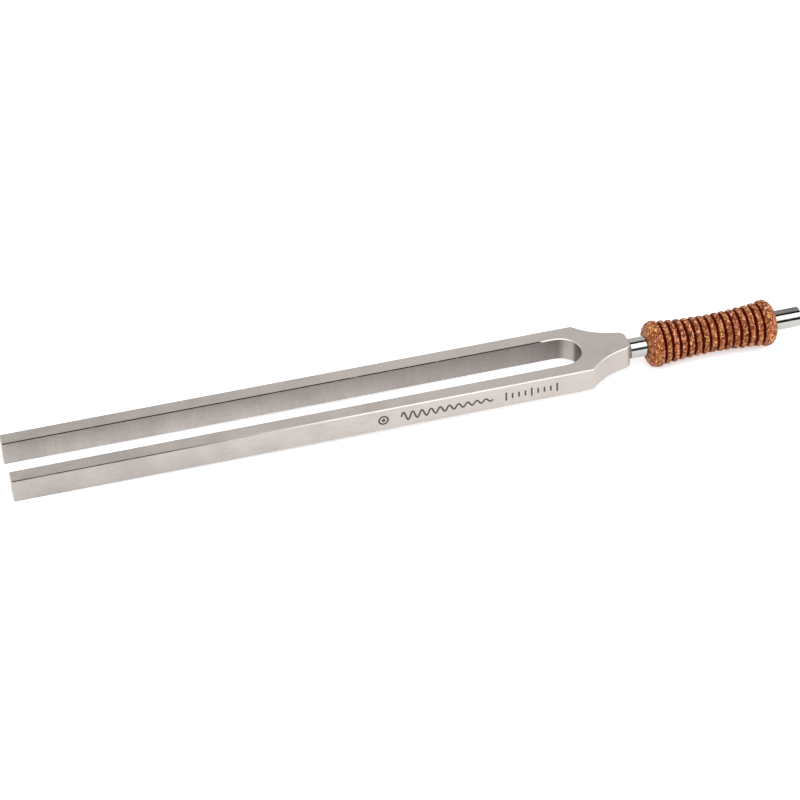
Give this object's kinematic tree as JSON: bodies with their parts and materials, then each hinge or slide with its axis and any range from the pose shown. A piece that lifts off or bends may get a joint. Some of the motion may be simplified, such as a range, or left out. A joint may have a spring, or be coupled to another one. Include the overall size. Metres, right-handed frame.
{
  "type": "tuning fork",
  "caption": "Long satin steel tuning fork with two flat parallel tines, a waisted neck and a round polished stem through a ribbed cork-rubber grip.",
  "frame": {"origin": "the middle of the whole fork, on the stem's axis and halfway between tine tips and stem end", "axes": "+X from the tine tips to the free end of the stem, Y across the two tines, +Z square to the flat faces"},
  "size_m": [0.2354, 0.022, 0.0138],
  "materials": {
    "fork_satin_nickel": "satin nickel plate over fine brushing",
    "stem_polished": "ground and polished bright",
    "grip_cork_rubber": "matt, coarse red-brown granules"
  },
  "bodies": {
    "root": {"fork_body": "fork_satin_nickel", "stem": "stem_polished", "grip": "grip_cork_rubber"}
  },
  "joints": []
}
